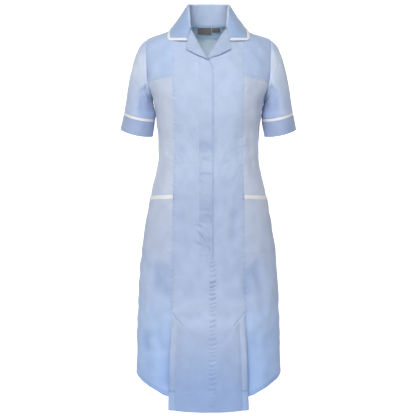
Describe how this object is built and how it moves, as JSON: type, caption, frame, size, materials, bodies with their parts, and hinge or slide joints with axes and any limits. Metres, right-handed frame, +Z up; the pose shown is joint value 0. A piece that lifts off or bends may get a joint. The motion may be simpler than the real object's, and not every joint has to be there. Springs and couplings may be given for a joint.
{
  "type": "nurse uniform dress",
  "caption": "Knee-length short-sleeved nurse uniform dress, filled out as if worn: revere collar, concealed front, hip pockets, kick pleats, white trim.",
  "frame": {"origin": "between the shoulders, level with the base of the neck, where the wearer's shoulders hold the dress up", "axes": "+Z up, +X towards the wearer's left side, -Y towards the front of the dress"},
  "size_m": [0.4848, 0.3183, 1.0992],
  "materials": {
    "dress_cloth": "matte pale blue poly-cotton poplin",
    "piping_cloth": "matte white cotton trim",
    "label_tape": "matte taupe woven tape, left bare"
  },
  "bodies": {
    "root": {"front_centre_right": "dress_cloth", "placket": "dress_cloth", "front_side_right": "dress_cloth", "pocket_right": "dress_cloth", "pocket_trim_right": "piping_cloth", "front_yoke_right": "dress_cloth", "back_side_right": "dress_cloth", "sleeve_right": "dress_cloth", "sleeve_piping_right": "piping_cloth", "cuff_right": "dress_cloth", "lapel_right": "dress_cloth", "front_centre_left": "dress_cloth", "front_side_left": "dress_cloth", "pocket_left": "dress_cloth", "pocket_trim_left": "piping_cloth", "front_yoke_left": "dress_cloth", "back_side_left": "dress_cloth", "sleeve_left": "dress_cloth", "sleeve_piping_left": "piping_cloth", "cuff_left": "dress_cloth", "lapel_left": "dress_cloth", "back_centre": "dress_cloth", "back_neck_facing": "dress_cloth", "neck_label": "label_tape", "size_label": "label_tape", "collar": "dress_cloth", "collar_piping": "piping_cloth", "collar_end_piping_left": "piping_cloth", "collar_end_piping_right": "piping_cloth"}
  },
  "joints": []
}
